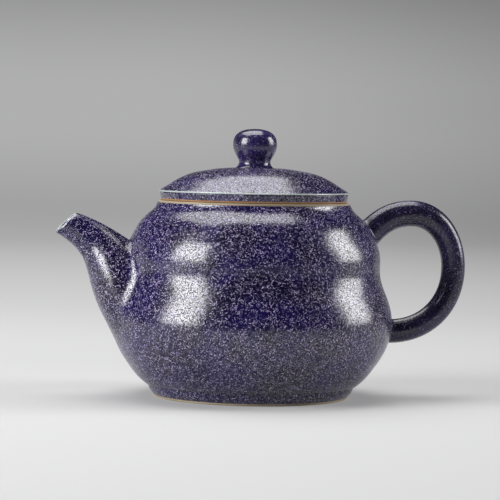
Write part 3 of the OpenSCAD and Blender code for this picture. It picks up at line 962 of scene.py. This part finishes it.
@dataclass
class Spout(Maker):
    """The lofted spout: two rails carry oval sections from the sloping mouth to the root on the wall."""

    mouth: Point2 = (-62.35, 57.15)
    cut: float = 9.6
    cut_angle: float = 43.0
    tip_half_w: float = 4.2
    root_half_w: float = 15.4
    root_top_z: float = 51.6
    root_low_z: float = 20.6
    lip: float = 1.25
    root_wall: float = 3.8
    pinch: float = 0.10
    slimming: float = 0.86
    hold: float = 1.9
    taper: float = 2.8
    around: int = 112

    def __post_init__(self) -> None:
        """Draw the two rails."""
        a = math.radians(self.cut_angle)
        self.slope = Vector((math.cos(a), math.sin(a))) * self.cut / 2
        self.ahead = Vector((-self.slope.y, self.slope.x)).normalized()
        top = Vector((-self.pot.radius(self.root_top_z), self.root_top_z))
        low = Vector((-self.pot.radius(self.root_low_z), self.root_low_z))
        back, throat = Vector(self.mouth) + self.slope, Vector(self.mouth) - self.slope
        self.back = Rail((top, top + Vector((-5.6, 3.6)), back + Vector((6.0, -1.8)), back))
        self.throat = Rail((low, low + Vector((-13.1, 18.8)), throat + Vector((15.2, -8.6)), throat))

    def loft(self, t: float, a: float, inset: float = 0.0) -> Vector:
        """Return a point of the skin.

        Args:
            t: From 0 at the root to 1 at the mouth.
            a: Angle round the section, 0 at the back.
            inset: How far the point is drawn in.

        Returns:
            The point in millimetres.
        """
        back, throat = self.back.at(t), self.throat.at(t)
        mid, half = (back + throat) / 2, (back - throat) / 2
        rise = half * (1 - inset / half.length)
        fullness = (1 + self.hold * t) * (1 - t) ** self.taper
        width = mix(self.tip_half_w, self.slimming * self.root_half_w, fullness) - inset
        width *= 1 - self.pinch * min(1.0, t / 0.12) * (1 - t) * math.cos(a)
        return Vector((mid.x + rise.x * math.cos(a), width * math.sin(a), mid.y + rise.y * math.cos(a)))

    def point(self, t: float, a: float, inset: float = 0.0) -> Vector:
        """Return a point of the skin once its root is laid on the wall."""
        p, q = self.loft(t, a, inset), self.loft(0.0, a, inset)
        laid = (1 - share(t, 0.0, 0.55)) ** 2
        return p + Vector((-self.pot.skin_x(q.y, q.z) - q.x, 0, 0)) * laid

    def fillet(self, a: float) -> tuple[float, float]:
        """Return the fillet's width on the wall and its reach up the spout, at an angle round the root.

        Both grow toward the sides, and most under the spout.
        """
        side = abs(math.sin(a))
        under = max(0.0, -math.cos(a)) ** 2
        return 1.1 + 2.8 * side**2 + 3.2 * under, 1.0 + 3.6 * side**2 + 6.0 * under

    def root_curve(self, a: float, count: int) -> list[Vector]:
        """Return the line at an angle that runs over the fillet and up the spout's side.

        Args:
            a: Angle round the root.
            count: How many steps it takes over the fillet.

        Returns:
            Its points, and then those of the spout's side, up to its mouth.
        """
        wide, reach = self.fillet(a)
        edge, ahead, behind = self.point(0.0, a), self.point(0.0, a + 0.02), self.point(0.0, a - 0.02)
        run = Vector((0, ahead.y - behind.y, ahead.z - behind.z)).normalized()
        out = Vector((0, -run.z, run.y))
        middle = (self.point(0.0, 0.0) + self.point(0.0, math.pi)) / 2
        if out.dot(Vector((0, edge.y - middle.y, edge.z - middle.z))) < 0:
            out = -out

        def on_wall(d: float) -> Vector:
            """Return the point on the wall's skin that lies d outside the root's edge."""
            y, z = edge.y + out.y * d, edge.z + out.z * d
            return Vector((-self.pot.skin_x(y, z) - 0.02, y, z))

        start = on_wall(wide)
        toward = (on_wall(wide - 0.1) - start).normalized()
        t = 0.0
        while (self.point(t, a) - edge).length < reach and t < 0.5:
            t += 0.004
        end = self.point(t, a)
        climb = (self.point(t + 0.004, a) - end).normalized()
        leads = toward * wide * 0.6, climb * reach * 0.85
        return [hermite(start, end, *leads, s) for s in steps(0, 1, count)] + [
            self.point(mix(t, 1.0, s**1.15), a) for s in steps(0, 1, 70)[1:]
        ]

    def lip_point(self, k: float, a: float) -> Vector:
        """Return a point of the rounded lip, k of the way from its outer edge to its inner."""
        p = self.point(1.0, a, self.lip * k)
        return p + Vector((self.ahead.x, 0, self.ahead.y)) * self.lip * 0.5 * math.sin(math.pi * k)

    def thinned(self, p: Vector) -> float:
        """Return how thin the glaze runs at a point, which it does past the plane of the mouth."""
        past = (Vector((p.x, p.z)) - Vector(self.mouth)).dot(self.ahead)
        return share(past, 0.32, 0.54)

    def bore(self, t: float) -> float:
        """Return the wall's thickness at t."""
        return mix(self.root_wall, self.lip, t**0.45)

    def build(self) -> list[Piece]:
        """Build the spout."""
        angles = [math.tau * j / self.around for j in range(self.around)]
        outer = [self.root_curve(a, 16) for a in angles]
        rings = [[line[i] for line in outer] for i in range(len(outer[0]))]
        rings += [[self.lip_point(k, a) for a in angles] for k in steps(0, 1, 10)[1:]]
        rings += [[self.point(t, a, self.bore(t)) for a in angles] for t in steps(1, 0, 40)[1:]]
        verts, faces = tube(rings, closed=True)
        obj = solid("spout", verts, faces, self.furnace.fire(POT_GLAZE))
        paint(obj, "thin", self.thinned)
        return [Piece(obj, "spout", Body.POT, Finish.GLAZE)]


@dataclass
class Handle(Maker):
    """The pulled loop handle, with a small fillet where each end is luted on."""

    top_r: float = 4.375
    root_extra: float = 0.15
    fall_r: float = 4.0
    reach: float = 68.85
    root_z: float = 54.9
    top_z: float = 61.7
    mid_z: float = 43.4
    low_z: float = 22.0
    fillet_wide: float = 1.1
    fillet_reach: float = 1.5
    fillet_steps: int = 8
    around: int = 64

    def __post_init__(self) -> None:
        """Draw the rise, the turn and the fall."""
        start = Vector((self.pot.radius(self.root_z), self.root_z))
        top = Vector((mix(start.x, self.reach, 0.5), self.top_z))
        far = Vector((self.reach, self.mid_z))
        end = Vector((self.pot.radius(self.low_z), self.low_z))
        self.rise = Rail((start, start + Vector((4.9, 5.4)), top - Vector((5.2, 0)), top))
        self.over = Rail((top, top + Vector((8.6, 0)), far + Vector((0, 9.9)), far))
        self.fall = Rail((far, far - Vector((0, 12.2)), end + Vector((13.4, -0.3)), end))

    def spine(self, u: float) -> tuple[Vector, Vector, float]:
        """Return the centre, the direction and the radius at u, 0 at the upper root and 3 at the lower."""
        if u < 1:
            rail, t, radius = self.rise, u, self.top_r + self.root_extra * (1 - u) ** 2
        elif u < 2:
            t = u - 1
            rail, radius = self.over, mix(self.top_r, self.fall_r, t * t * (3 - 2 * t))
        else:
            rail, t, radius = self.fall, u - 2, self.fall_r
        return rail.at(t), rail.along(t).normalized(), radius

    def side(self, u: float, a: float, swell: float = 0.0) -> Vector:
        """Return a point of the handle's side at u and angle a, swollen outward."""
        c, d, r = self.spine(u)
        n = Vector((-d.y, d.x))
        r += swell
        return Vector((c.x + n.x * r * math.cos(a), r * math.sin(a), c.y + n.y * r * math.cos(a)))

    def outside(self, p: Vector) -> float:
        """Return how far a point lies outside the wall."""
        return math.hypot(p.x, p.y) - self.pot.radius(p.z)

    def landing(self, a: float, swell: float, upper: bool) -> float:
        """Return the u at which the side meets the wall.

        Args:
            a: Angle round the handle.
            swell: How much the side is swollen.
            upper: True at the upper root.

        Returns:
            The u where the swollen side crosses the wall's skin.
        """
        lo, hi = (-0.6, 0.75) if upper else (3.5, 2.35)
        for _ in range(40):
            m = (lo + hi) / 2
            if self.outside(self.side(m, a, swell)) > 0:
                hi = m
            else:
                lo = m
        return hi

    def root_line(self, a: float, upper: bool) -> tuple[list[Vector], float]:
        """Return the fillet's line at an angle, and the u where it joins the side.

        Args:
            a: Angle round the handle.
            upper: True at the upper root.

        Returns:
            Its points from the wall outward, and the u at its end.
        """
        wide, reach = self.fillet_wide, self.fillet_reach
        foot = self.side(self.landing(a, wide, upper), a, wide)
        near = self.side(self.landing(a, wide * 0.9, upper), a, wide * 0.9)
        u = self.landing(a, 0.0, upper)
        step = 0.002 if upper else -0.002
        edge = self.side(u, a)
        while (self.side(u, a) - edge).length < reach:
            u += step
        end = self.side(u, a)
        climb = (self.side(u + step, a) - end).normalized()
        lift = Vector((foot.x, foot.y, 0)).normalized() * 0.02
        leads = (near - foot).normalized() * wide * 0.62, climb * reach * 0.62
        return [hermite(foot + lift, end, *leads, s) for s in steps(0, 1, self.fillet_steps)], u

    def build(self) -> list[Piece]:
        """Build the handle."""
        angles = [math.tau * j / self.around for j in range(self.around)]
        first, last = ([self.root_line(a, upper) for a in angles] for upper in (True, False))
        ends = [[[line[i] for line, _ in lines] for i in range(self.fillet_steps + 1)]
                for lines in (first, last)]
        sides = [[self.side(mix(first[j][1], last[j][1], s), a) for j, a in enumerate(angles)]
                 for s in steps(0, 1, 150)[1:-1]]
        rings = ends[0] + sides + ends[1][::-1]
        verts, faces = tube(rings, closed=False)
        for ring in (0, len(rings) - 1):
            start, base = ring * self.around, len(verts)
            middle = sum(rings[ring], Vector()) / self.around
            verts.append(Vector((self.pot.skin_x(middle.y, middle.z), middle.y, middle.z)))
            faces += [(base, start + (j + 1) % self.around, start + j) for j in range(self.around)]
        obj = solid("handle", verts, faces, self.furnace.fire(HANDLE_GLAZE), 60)
        return [Piece(obj, "handle", Body.POT, Finish.DARK_GLAZE)]


@dataclass
class Lid(Maker):
    """The lid: a dome slab on a seat plate, the flange under it and the knob on top."""

    seat_gap: float = 0.1
    band_h: float = 2.7
    band_step: float = 0.2
    band_taper: float = 0.5
    dome_rise: float = 8.35
    dome_t: float = 2.4
    flange_h: float = 7.6
    flange_t: float = 2.5
    play: float = 0.25
    knob_r: float = 7.32
    knob_h: float = 12.95
    neck_r: float = 5.25
    knob_foot_r: float = 6.3
    vent_r: float = 0.8

    def __post_init__(self) -> None:
        """Work out the heights and draw the dome and the knob."""
        self.seat_z = self.pot.wall_top_z + self.pot.rim_h + self.seat_gap
        self.band_z = self.seat_z + self.band_h
        self.dome_z = self.band_z + self.dome_rise
        self.flange_r = self.pot.mouth_r - self.play
        self.in_r = self.flange_r - self.flange_t
        self.dome_foot_r = self.knob_foot_r + 0.2
        self.dome_edge_r = self.pot.rim_r - 0.12
        rim = self.pot.rim_r
        self.dome = Contour((
            (self.dome_foot_r, self.dome_z, 0.0),
            (rim * 0.475, self.dome_z - self.dome_rise * 0.096, -0.165),
            (rim * 0.712, self.dome_z - self.dome_rise * 0.311, -0.42),
            (rim * 0.855, self.dome_z - self.dome_rise * 0.596, -0.66),
            (self.dome_edge_r, self.band_z + 0.52, -0.74),
        ))
        self.knob_eq = self.knob_h * 0.598
        self.bulb = Contour((
            (0.0, self.knob_foot_r, -1.1),
            (self.knob_h * 0.139, self.neck_r, 0.0),
            (self.knob_h * 0.325, mix(self.neck_r, self.knob_r, 0.52), 0.53),
            (self.knob_eq, self.knob_r, 0.0),
        ))

    def thinned(self, p: Vector) -> float:
        """Return how thin the glaze runs at a point, which it does over the bead at the lid's edge."""
        up = p.z - self.band_z
        if math.hypot(p.x, p.y) <= self.pot.rim_r - 1:
            return 0.0
        return share(up, 0.06, 0.16) * share(up, 0.7, 0.48)

    def cover_piece(self) -> Piece:
        """Turn the dome slab, whose edge is a narrow bead where the glaze thins."""
        rim, foot = self.pot.rim_r, self.dome_foot_r
        top = [(r, self.dome.at(r)) for r in steps(foot, self.dome_edge_r, 96)]
        angles = [math.radians(a) for a in steps(36, -90, 14)]
        bead = [(rim - 0.4 + 0.4 * math.cos(a), self.band_z + 0.3 + 0.3 * math.sin(a)) for a in angles]
        under = []
        for r in steps(self.in_r + 1.6, self.knob_foot_r, 40):
            s = self.dome.slope(r) if r > foot else 0.0
            k = self.dome_t / math.sqrt(1 + s * s)
            z = (self.dome.at(r) if r > foot else self.dome_z) - k
            if z > self.band_z + 0.5:
                under.append((r + k * s, z))
        profile = [(self.vent_r, self.dome_z), *top, *bead, (self.in_r, self.band_z), *under,
                   (self.vent_r, self.dome_z - self.dome_t)]
        obj = self.turned("lid_dome", profile[::-1], POT_GLAZE)
        paint(obj, "thin", self.thinned)
        return Piece(obj, "lid_cover", Body.LID, Finish.GLAZE)

    def plate_piece(self) -> Piece:
        """Turn the seat plate, glazed down to its bare underside."""
        edge, soft = self.pot.rim_r - self.band_step, 0.25
        low = edge - self.band_taper
        line = self.seat_z + 0.65
        profile = [(self.in_r, self.seat_z), *arc((low - soft, self.seat_z + soft), soft, 270, 360)]
        profile += [(mix(low, edge, (z - self.seat_z) / self.band_h), z)
                    for z in steps(line - 0.1, self.band_z - 0.3, 8)]
        profile += [*arc((edge - soft, self.band_z - 0.22), 0.22, 0, 90), (self.in_r, self.band_z)]
        obj = self.turned("lid_plate", profile, POT_GLAZE)
        leave_bare(obj, self.furnace.fire(LID_EDGE_CLAY),
                   lambda q: q.z < line - 0.05 or math.hypot(q.x, q.y) < low - 0.5)
        return Piece(obj, "lid_plate", Body.LID, Finish.GLAZE)

    def flange_piece(self) -> Piece:
        """Turn the flange that reaches into the mouth."""
        out_r, in_r, top = self.flange_r, self.in_r, self.seat_z
        low = top - self.flange_h
        profile = [(in_r, top), *arc((in_r + 0.5, low + 0.5), 0.5, 180, 270),
                   *arc((out_r - 0.9, low + 0.65), 0.65, 270, 350), (out_r, low + 2.0), (out_r, top)]
        obj = self.turned("lid_flange", profile, BARE_CLAY)
        return Piece(obj, "lid_flange", Body.LID, Finish.CLAY)

    def knob_piece(self) -> Piece:
        """Turn the knob, with the steam vent down its middle."""
        side = [(self.bulb.at(z), z) for z in steps(0, self.knob_eq, 48)]
        bulge, tall = 2 / 2.45, self.knob_h - self.knob_eq
        angles = [math.radians(a) for a in steps(2, 88, 43)]
        crown = [(self.knob_r * math.cos(a) ** bulge, self.knob_eq + tall * math.sin(a) ** bulge)
                 for a in angles]
        crown = [q for q in crown if q[0] > self.vent_r + 0.5]
        vent = arc((self.vent_r + 0.35, self.knob_h - 0.35), 0.35, 90, 180)
        profile = [(r, z + self.dome_z) for r, z in [(self.vent_r, 0.0), *side, *crown, *vent]]
        obj = self.turned("knob", profile, KNOB_GLAZE, sides=128)
        return Piece(obj, "knob", Body.LID, Finish.DARK_GLAZE)

    def build(self) -> list[Piece]:
        """Build the lid's pieces."""
        return [self.cover_piece(), self.plate_piece(), self.flange_piece(), self.knob_piece()]


# --- the studio -----------------------------------------------------------------------------------


@dataclass(frozen=True)
class Softbox:
    """A large soft lamp.

    Attributes:
        name: The lamp's name.
        place: Its centre in metres.
        aim: The place in metres that it faces.
        wide: Its width in metres.
        tall: Its height in metres.
        power: Radiance at its brightest place.
        edge: Share of its half width and half height over which it fades out.
        lean: How much of its brightness it has lost at its far end, which is the back of a hanging lamp.
    """

    name: str
    place: tuple[float, float, float]
    aim: tuple[float, float, float]
    wide: float
    tall: float
    power: float
    edge: tuple[float, float]
    lean: float = 0.0

    def hang(self) -> Object:
        """Hang the lamp, and fade it toward its edges."""
        lamp = bpy.data.lights.new(self.name, "AREA")
        lamp.shape, lamp.size, lamp.size_y = "RECTANGLE", self.wide, self.tall
        lamp.energy = self.power * math.pi * self.wide * self.tall
        lamp.use_nodes = True
        w = Wiring(lamp.node_tree)
        glow = next(n for n in lamp.node_tree.nodes if n.type == "EMISSION")
        within = w.add("ShaderNodeNewGeometry").outputs["Parametric"]
        split = w.add("ShaderNodeSeparateXYZ", {"Vector": within})
        across, along = split.outputs["X"], split.outputs["Y"]
        fade = [w.ramp(w.math("ABSOLUTE", w.math("MULTIPLY_ADD", side, 2.0, -1.0)), 1.0, 1.0 - soft)
                for side, soft in zip((across, along), self.edge)]
        leaning = w.ramp(along, 0.0, 1.0, 1.0, 1.0 - self.lean, smooth=False)
        w.feed(glow.inputs["Strength"], w.math("MULTIPLY", w.math("MULTIPLY", *fade), leaning))
        obj = bpy.data.objects.new(self.name, lamp)
        bpy.context.scene.collection.objects.link(obj)
        obj.location = self.place
        obj.rotation_euler = (Vector(self.aim) - obj.location).to_track_quat("-Z", "Y").to_euler()
        return obj


def beside(turn: float, away: float, height: float) -> tuple[float, float, float]:
    """Return a place by its direction from the front in degrees, its level distance and its height."""
    a = math.radians(turn)
    return (away * math.sin(a), -away * math.cos(a), height)


def painted_glow_grey(level: float) -> Colour:
    """Return a glow level for the sweep, faintly cool, for a level from 0 to 255: painted light that stands
    in for the lit paper.
    """
    light = ((level / 255 + 0.055) / 1.055) ** 2.4
    return (light, light, light * 1.01)


# The sweep's glow levels, painted light that stands in for how the lamps light the paper: behind the pot,
# where the floor meets the wall, in the wall's palest band and above it.
NEAR_GREY = painted_glow_grey(220)
FAR_GREY = painted_glow_grey(160)
BAND_GREY = painted_glow_grey(175)
HIGH_GREY = painted_glow_grey(135)


@dataclass
class Studio:
    """The camera, the sweep that the pot stands on, and the lamps.

    Attributes:
        distance: How far the camera stands from the pot's axis, in metres.
        height: The camera's height in metres.
        turn: Its direction from the pot's front, in degrees.
        roll: How far it leans, in degrees.
        focal_px: Its focal length in pixels of the picture.
        horizon_px: How far the horizon lies above the picture's middle.
        aside_px: How far the pot's axis lies beside the picture's middle.
        picture: The picture's width in pixels.
        softboxes: The lamps.
    """

    distance: float = 0.810
    height: float = 0.0854
    turn: float = -10.0
    roll: float = 1.05
    focal_px: float = 2430.0
    horizon_px: float = 109.6
    aside_px: float = 3.1
    picture: int = 500
    softboxes: tuple[Softbox, ...] = (
        Softbox("Left softbox", place=beside(-70.0, 1.2, 0.575), aim=(0, 0, 0.575), wide=0.80, tall=1.14,
                power=10.4, edge=(0.34, 0.34)),
        Softbox("Right softbox", place=beside(88.0, 1.2, 0.55), aim=(0, 0, 0.55), wide=0.72, tall=1.06,
                power=6.5, edge=(0.34, 0.36), lean=-0.5),
        Softbox("Overhead softbox", place=(-0.095, 0.40, 1.0), aim=(-0.095, 0.4001, 0.0), wide=0.98,
                tall=1.10, power=4.8, edge=(0.12, 0.16), lean=0.35),
    )

    def camera(self) -> None:
        """Set the camera up at the pot's height, turned a little toward the spout."""
        a, e = math.radians(self.turn), math.atan(self.horizon_px / self.focal_px)
        ahead = Vector((-math.sin(a) * math.cos(e), math.cos(a) * math.cos(e), -math.sin(e)))
        right = Vector((math.cos(a), math.sin(a), 0))
        up = right.cross(ahead)
        c, s = math.cos(math.radians(self.roll)), math.sin(math.radians(self.roll))
        right, up = right * c + up * s, up * c - right * s
        yaw = Matrix.Rotation(self.aside_px / self.focal_px, 3, "Y")
        frame = Matrix((right, up, -ahead)).transposed() @ yaw
        data = bpy.data.cameras.new("Camera")
        data.lens = self.focal_px / self.picture * data.sensor_width
        data.clip_start, data.clip_end = 0.01, 50
        obj = bpy.data.objects.new("Camera", data)
        bpy.context.scene.collection.objects.link(obj)
        place = beside(self.turn, self.distance, self.height)
        obj.matrix_world = Matrix.Translation(place) @ frame.to_4x4()
        bpy.context.scene.camera = obj

    def sweep(self) -> None:
        """Lay the floor, which runs back and curves up into the backdrop."""
        end, bend, half_w = 1.2, 0.7, 3.0
        line = [(y, 0.0) for y in steps(-0.8, end, 40)]
        line += arc((end, bend), bend, -87, 0, 29)
        line += [(end + bend, z) for z in steps(0.9, 3.0, 7)]
        verts = [(x, y, z) for y, z in line for x in (-half_w, half_w)]
        faces = [(2 * i, 2 * i + 1, 2 * i + 3, 2 * i + 2) for i in range(len(line) - 1)]
        mesh = bpy.data.meshes.new("sweep")
        mesh.from_pydata(verts, [], faces)
        mesh.shade_smooth()
        floor = add_object("sweep", mesh)
        floor.data.materials.append(self.paper())

    def paper(self) -> Material:
        """Make the sweep's pale paper: lamp-lit near the pot, where it takes the shadow that a faint painted
        glow lightens, and behind it a glow of painted light and shade.

        Returns:
            The material.
        """
        mat, w, surface = blank_material("Sweep paper")
        turned = w.add("ShaderNodeMapping", {"Vector": w.add("ShaderNodeTexCoord").outputs["Object"],
                                             "Rotation": (0.0, 0.0, math.radians(-self.turn))})
        split = w.add("ShaderNodeSeparateXYZ", {"Vector": turned.outputs[0]})
        aside, back, up = (split.outputs[k] for k in ("X", "Y", "Z"))

        # The glow that the camera and the glaze see: painted light that grows dimmer further back, is palest
        # in a band low on the wall, and is painted shade higher up.
        floor = w.blend(w.ramp(back, 0.2, 1.4, smooth=False), NEAR_GREY, FAR_GREY)
        band = w.blend(w.ramp(up, 0.0, 0.1), FAR_GREY, BAND_GREY)
        wall = w.blend(w.ramp(up, 0.13, 0.3), band, HIGH_GREY)
        wall = w.vector("SCALE", wall, w.ramp(up, 0.25, 0.55, 1.0, 0.15))
        # The backdrop's glow, with painted shade that makes it a little darker to the right.
        shaded = w.blend(w.ramp(up, 0.0, 0.04), floor, wall)
        right = w.ramp(aside, -0.12, 0.45, 1.0, 0.68)
        light = w.add("ShaderNodeEmission", {"Color": w.vector("SCALE", shaded, right)})
        # Painted shade on the paper's colour: it is palest round the pot, and darker in front of the picture,
        # behind and to the right, standing in for dimmer light there.
        near = w.math("MULTIPLY", w.ramp(back, -0.6, -0.22, 0.02, 1.0), w.ramp(back, -0.12, 0.14, 1.0, 0.86))
        pale = w.math("MULTIPLY", near, w.ramp(aside, -0.15, 0.3, 1.0, 0.88))
        flat = w.add("ShaderNodeBsdfDiffuse", {"Color": w.vector("SCALE", (0.61, 0.61, 0.61), pale)})
        # Seen directly, in a gloss or through glass, the near floor is one fifth its own glow, a painted
        # light that lightens the pot's shadow there, and the sweep behind it all its own glow.
        rays = w.add("ShaderNodeLightPath").outputs
        seen = w.math("MAXIMUM", rays["Is Camera Ray"], rays["Is Glossy Ray"])
        seen = w.math("MAXIMUM", seen, rays["Is Transmission Ray"])
        lit = w.math("MULTIPLY", seen, w.ramp(back, 0.12, 0.46, 0.2, 1.0))
        both = w.add("ShaderNodeMixShader", {0: lit, 1: flat.outputs[0], 2: light.outputs[0]})
        w.feed(surface, both.outputs[0])
        return mat

    def world(self) -> None:
        """Fill the room with plain dim light."""
        world = bpy.data.worlds.new("Room")
        bpy.context.scene.world = world
        world.use_nodes = True
        back = world.node_tree.nodes["Background"]
        back.inputs["Color"].default_value = (1.0, 1.0, 1.0, 1)
        back.inputs["Strength"].default_value = 0.02

    def build(self) -> None:
        """Set up the studio."""
        self.camera()
        for box in self.softboxes:
            box.hang()
        self.sweep()
        self.world()
        bpy.context.scene.view_settings.view_transform = "Standard"


def main() -> None:
    """Build the teapot and its studio in order."""
    logging.basicConfig(level=logging.INFO, format="%(message)s")
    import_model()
    Studio().build()
    pot, furnace = Pot(), Furnace()
    for kind in (PotBody, Strainer, Spout, Handle, Lid):
        for piece in kind(pot, furnace).build():
            piece.place()


if __name__ == "__main__":
    main()
